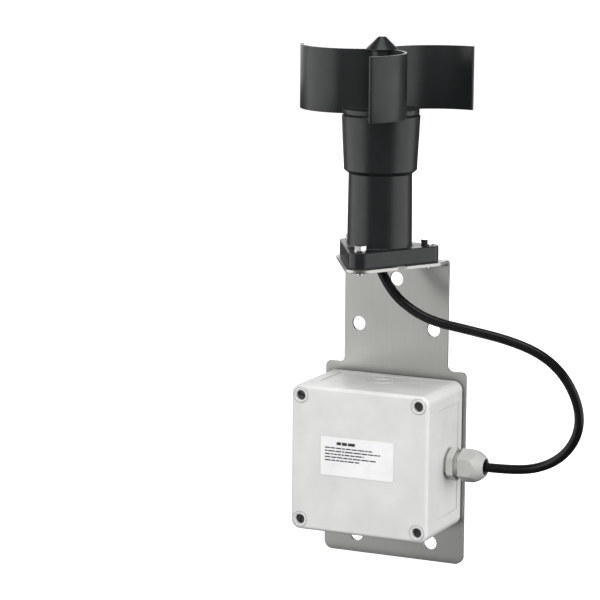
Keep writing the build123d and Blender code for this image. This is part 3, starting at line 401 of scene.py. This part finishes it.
def brushed_sheet(name, base, roughness, edge_mm=0.25):
    """Stainless sheet with a fine lengthwise brush grain, faint handling marks, cut edges painted brighter
    as a highlight and painted shade where other parts stand close.
    """
    s = Surface(name, base, roughness, metallic=1.0)
    s.shader.inputs["Anisotropic"].default_value = 0.45
    s.round_edges(edge_mm)
    s.bump(s.noise(0.3, detail=3.0, scale=(1, 1, 0.03)), depth_mm=0.002)
    s.bump(s.noise(18.0, detail=1.0, seed=3.0), depth_mm=0.06, strength=0.4)
    s.vary_roughness(s.noise(25.0, detail=5.0, seed=4.0), spread=0.05)
    s.vary_colour(
        s.noise(0.45, detail=4.0, scale=(1, 1, 0.02), seed=6.0), darkest=0.97, lightest=1.03,
        # The edge mask paints a highlight and the crevice mask paints shade where other parts stand close.
        edge=s.edge_highlight_mask(edge_mm), edge_highlight_gain=1.2,
        crevice_shade=s.painted_crevice_shade(6.0, darkest=0.30),
    )
    return s.material


def plated_steel(name, base, roughness, lines_depth_mm=0.004):
    """Bright plated or ground steel with faint machining lines and a little tarnish."""
    s = Surface(name, base, roughness, metallic=1.0)
    s.round_edges(0.12)
    s.bump(s.noise(0.25, detail=2.0, scale=(1, 1, 0.2)), depth_mm=lines_depth_mm)
    s.vary_roughness(s.noise(2.5, detail=4.0, seed=3.0), spread=0.07)
    s.vary_colour(s.noise(3.0, detail=4.0, seed=7.0), darkest=0.85, lightest=1.08)
    return s.material


def soft_rubber(name, base, roughness, grain_mm=0.2, specular=0.5):
    """Matt rubber with a dusty, slightly uneven skin."""
    s = Surface(name, base, roughness)
    s.shader.inputs["Specular IOR Level"].default_value = specular
    s.round_edges(0.15)
    s.bump(s.noise(grain_mm, detail=3.0), depth_mm=0.015)
    s.vary_roughness(s.noise(3.0, detail=4.0, seed=2.0), spread=0.08)
    s.vary_colour(s.noise(6.0, detail=4.0, seed=4.0), darkest=0.8, lightest=1.5)
    return s.material


def board_lacquer(name, base, roughness):
    """Green solder mask with faint traces under it."""
    s = Surface(name, base, roughness)
    s.bump(s.noise(1.6, detail=2.0, scale=(1, 1, 0.15)), depth_mm=0.03)
    s.vary_roughness(s.noise(1.5, detail=4.0, seed=2.0), spread=0.06)
    s.vary_colour(s.noise(1.8, detail=1.0, scale=(0.2, 1, 1), seed=3.0), darkest=0.75, lightest=1.5)
    return s.material


# Each slot's finish. The first three values of each are its name, base colour and roughness.
finishes = {
    # Edge gains above 1 paint edge highlights; crevice distances paint shade in crevices.
    "sensor_plastic": moulded_plastic(
        "sensor_plastic_moulded", (0.0110, 0.0130, 0.0130), 0.34, edge_mm=0.35, edge_highlight_gain=2.2
    ),
    "stainless_sheet": brushed_sheet("stainless_brushed", (0.60, 0.60, 0.575), 0.38),
    "box_plastic": moulded_plastic(
        "box_plastic_moulded", (0.735, 0.735, 0.720), 0.42, grain_mm=0.5, edge_highlight_gain=1.12, crevice_shade_mm=1.2
    ),
    "gland_plastic": moulded_plastic(
        "gland_plastic_moulded", (0.47, 0.47, 0.45), 0.34, edge_highlight_gain=1.15, crevice_shade_mm=2.5
    ),
    "bright_steel": plated_steel("bright_steel_plated", (0.80, 0.80, 0.78), 0.16),
    "dark_steel": plated_steel("dark_steel_dull", (0.11, 0.11, 0.11), 0.34),
    "ground_steel": plated_steel("bearing_steel_ground", (0.68, 0.68, 0.70), 0.14, lines_depth_mm=0.002),
    "black_rubber": soft_rubber("rubber_moulded", (0.016, 0.016, 0.017), 0.62),
    "grey_rubber": soft_rubber("grey_rubber_moulded", (0.17, 0.17, 0.16), 0.60),
    "cable_jacket": soft_rubber(
        "cable_jacket_extruded", (0.005, 0.005, 0.0055), 0.27, grain_mm=0.6, specular=0.3
    ),
    "name_plate_film": moulded_plastic(
        "name_plate_film_coated", (0.92, 0.92, 0.92), 0.30, edge_mm=0.1, edge_highlight_gain=1.0
    ),
    "circuit_board": board_lacquer("board_solder_mask", (0.02, 0.15, 0.06), 0.32),
    "black_plastic": moulded_plastic("black_plastic_moulded", (0.022, 0.022, 0.024), 0.42),
    "green_plastic": moulded_plastic("green_plastic_moulded", (0.04, 0.28, 0.09), 0.38),
    "nickel": plated_steel("nickel_plated", (0.72, 0.69, 0.62), 0.20),
    "cell_sleeve": moulded_plastic("cell_sleeve_shrunk", (0.07, 0.19, 0.46), 0.24, edge_highlight_gain=1.1),
    "core_insulation": moulded_plastic("core_insulation_extruded", (0.48, 0.09, 0.06), 0.40),
}
slot_of = {row["node"]: row["material_slot"] for row in frame["record"]["subparts"]}


def paint(obj, slot):
    """Gives an object the one finish that its material slot has."""
    obj.data.materials.clear()
    obj.data.materials.append(finishes[slot])


for node, obj in nodes.items():
    paint(obj, slot_of[node])
paint(cable, "cable_jacket")


# ------------------------------------------------------------------ pieces that only show
def add_piece(name, bm, slot):
    """Turns bm into an object that rides on the fixed body and takes a slot's finish."""
    bmesh.ops.recalc_face_normals(bm, faces=bm.faces)
    mesh = bpy.data.meshes.new(name)
    bm.to_mesh(mesh)
    bm.free()
    piece = bpy.data.objects.new(name, mesh)
    bpy.context.scene.collection.objects.link(piece)
    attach(piece, "root")
    paint(piece, slot)


def skin_rings(bm, sections, closed):
    """Skins rings of points, one after the other, and caps both ends unless the run is closed."""
    rings = [[bm.verts.new(place) for place in section] for section in sections]
    pairs = list(zip(rings, rings[1:])) + ([(rings[-1], rings[0])] if closed else [])
    for low, high in pairs:
        for k in range(len(low)):
            bm.faces.new((low[k], low[k - 1], high[k - 1], high[k]))
    if not closed:
        bm.faces.new(rings[0])
        bm.faces.new(rings[-1])


# Millimetres and degrees. Flank and root are shares of the pitch and the depth, and the lowest
# is the share of the depth that is left where a thread runs out.
THREAD_DEPTH = 0.18
THREAD_STEPS_PER_TURN = 48
THREAD_FLANK = 0.42
THREAD_ROOT = 0.3
THREAD_RUN_OUT_STEPS = 8
THREAD_LOWEST = 0.08
FOOT_SCREW_RADIUS = 2.0
FOOT_SCREW_TIP = 0.4
FOOT_SCREW_PITCH = 0.7
FOOT_SCREW_ANGLES = (-90, 30, 150)
FOOT_SCREW_SECTOR = 120
NECK_RADIUS = 8.2
NECK_PITCH = 1.5
NECK_GAP = 3.2


def thread_ridge(bm, start, axis, side, radius_mm, length, pitch_mm):
    """A screw thread's ridge: a three-sided helix from start along axis, thinner at both ends."""
    other = axis.cross(side)
    radius, pitch, depth = radius_mm * MM, pitch_mm * MM, THREAD_DEPTH * MM
    steps = round(length / pitch * THREAD_STEPS_PER_TURN)
    sections = []
    for i in range(steps + 1):
        turn = TAU * i / THREAD_STEPS_PER_TURN
        out = side * cos(turn) + other * sin(turn)
        middle = start + axis * (pitch * i / THREAD_STEPS_PER_TURN)
        fade = min(1.0, i / THREAD_RUN_OUT_STEPS, (steps - i) / THREAD_RUN_OUT_STEPS)
        flank = axis * (pitch * THREAD_FLANK)
        root = out * (radius - THREAD_ROOT * depth)
        crest = out * (radius + depth * max(THREAD_LOWEST, fade))
        sections.append([middle - flank + root, middle + crest, middle + flank + root])
    skin_rings(bm, sections, closed=False)


def near_angle(place, angle):
    """Whether a place lies in the foot screw's sector round the given angle."""
    gap = (degrees(atan2(place.y, place.x)) - angle + 180) % 360 - 180
    return abs(gap) < FOOT_SCREW_SECTOR / 2


def add_foot_screw_threads():
    """Threads on the three screw ends that come out under the platform."""
    bm = bmesh.new()
    places = [v.co - sensor_axis for v in nodes["foot_screws"].data.vertices]
    half_turn = FOOT_SCREW_PITCH / 2 * MM
    start_z = foot_screw_bottom + FOOT_SCREW_TIP * MM + half_turn
    length = gasket_bottom - sheet_thickness - start_z - half_turn
    for angle in FOOT_SCREW_ANGLES:
        near = [p for p in places if near_angle(p, angle)]
        x = (min(p.x for p in near) + max(p.x for p in near)) / 2 + sensor_axis.x
        y = (min(p.y for p in near) + max(p.y for p in near)) / 2 + sensor_axis.y
        radius = FOOT_SCREW_RADIUS - THREAD_DEPTH / 2
        thread_ridge(bm, Vector((x, y, start_z)), Z, X, radius, length, FOOT_SCREW_PITCH)
    add_piece("foot_screw_threads", bm, "bright_steel")


def add_neck_thread():
    """The gland neck's thread, in the gap between its collar and its nut."""
    bm = bmesh.new()
    start = Vector((nut_low.x - (NECK_GAP - NECK_PITCH / 2) * MM, gland_centre.y, gland_centre.z))
    thread_ridge(bm, start, X, Y, NECK_RADIUS, NECK_GAP * MM, NECK_PITCH)
    add_piece("gland_neck_thread", bm, "gland_plastic")


# Millimetres, apart from the steps.
RING_STEPS = 64
RING_SIDES = 8
KNOCKOUT_RECESS = 0.4
KNOCKOUT_RADII = (5.5, 8.0)
KNOCKOUT_WIDTH = 0.7
KNOCKOUT_HEIGHT = 0.22
LID_HEAD_RADIUS = 2.95
LID_RING_RADIUS = 4.25
LID_RING_WIDTH = 0.8
LID_RING_HEIGHT = 0.25


def ring_ridge(bm, centre, normal, side, radius_mm, width_mm, height_mm):
    """A low round-topped ring that stands on a face."""
    other = normal.cross(side)
    sections = []
    for i in range(RING_STEPS):
        turn = TAU * i / RING_STEPS
        out = side * cos(turn) + other * sin(turn)
        section = []
        for k in range(RING_SIDES):
            roll = TAU * k / RING_SIDES
            reach = radius_mm + width_mm / 2 * cos(roll)
            section.append(centre + out * (reach * MM) + normal * (height_mm * sin(roll) * MM))
        sections.append(section)
    skin_rings(bm, sections, closed=True)


def add_knockout_rings():
    """Low rings for cable entries, moulded in the box's top, bottom and left panels."""
    bm = bmesh.new()
    recess = KNOCKOUT_RECESS * MM
    faces = (
        (Vector((base_centre.x, base_centre.y, base_high.z - recess)), Z, X),
        (Vector((base_centre.x, base_centre.y, base_low.z + recess)), -Z, X),
        (Vector((base_low.x + recess, base_centre.y, base_centre.z)), -X, Y),
    )
    for centre, normal, side in faces:
        for radius in KNOCKOUT_RADII:
            ring_ridge(bm, centre, normal, side, radius, KNOCKOUT_WIDTH, KNOCKOUT_HEIGHT)
    add_piece("knockout_rings", bm, "box_plastic")


def add_lid_rings():
    """A low moulded ring round each lid screw."""
    bm = bmesh.new()
    head = LID_HEAD_RADIUS * MM
    for x in (lid_screw_low.x + head, lid_screw_high.x - head):
        for z in (lid_screw_low.z + head, lid_screw_high.z - head):
            centre = Vector((x, label_high.y, z))
            ring_ridge(bm, centre, -Y, X, LID_RING_RADIUS, LID_RING_WIDTH, LID_RING_HEIGHT)
    add_piece("lid_screw_rings", bm, "box_plastic")


# Millimetres. A row is its drop from the plate's top, bar height, left end and right end.
PRINT_ROWS = (
    (3.0, 1.9, 11.0, 24.0),
    (6.6, 0.8, 3.0, 36.0),
    (8.6, 0.8, 3.0, 41.0),
    (10.6, 0.8, 3.0, 30.0),
    (12.6, 0.8, 3.0, 38.0),
    (14.6, 0.8, 3.0, 27.0),
)
PRINT_THICKNESS = 0.03
PRINT_OFFSET = PRINT_THICKNESS / 4
PRINT_WIDTHS = (1.4, 5.2)
PRINT_GAP = 0.55
PRINT_SEED = 11


def add_label_print():
    """Rows of plain bars on the name plate, in place of print. They spell nothing."""
    random = Random(PRINT_SEED)
    bm = bmesh.new()
    for drop, height, left, right in PRINT_ROWS:
        x = left
        while x < right:
            width = min(random.uniform(*PRINT_WIDTHS), right - x)
            centre = Vector((
                label_low.x + (x + width / 2) * MM,
                label_low.y - PRINT_OFFSET * MM,
                label_high.z - (drop + height / 2) * MM,
            ))
            size = Vector((width, PRINT_THICKNESS, height)) * MM
            bmesh.ops.create_cube(bm, size=1.0, matrix=Matrix.LocRotScale(centre, None, size))
            x += width + PRINT_GAP
    add_piece("name_plate_bars", bm, "black_plastic")


add_foot_screw_threads()
add_neck_thread()
add_knockout_rings()
add_lid_rings()
add_label_print()

# ------------------------------------------------------------------ softened edges
# Bevel widths in mm, and the angle in degrees from which an edge counts as sharp.
EDGE_WIDTHS = {
    "vane_rotor": 0.25,
    "rotor_cone": 0.20,
    "bracket": 0.20,
    "foot_screws": 0.15,
    "gland_nut": 0.25,
    "gland_body": 0.20,
    "name_plate": 0.08,
}
SHARP_ANGLE = 40
WELD_DISTANCE = 0.002


def soften_edges(obj, width_mm):
    """Joins the mesh's doubled points and rounds its sharp edges."""
    weld = obj.modifiers.new("weld", "WELD")
    weld.merge_threshold = WELD_DISTANCE * MM
    bevel = obj.modifiers.new("soft_edges", "BEVEL")
    bevel.width = width_mm * MM
    bevel.segments = 2
    bevel.limit_method = "ANGLE"
    bevel.angle_limit = radians(SHARP_ANGLE)


for node, width in EDGE_WIDTHS.items():
    soften_edges(nodes[node], width)
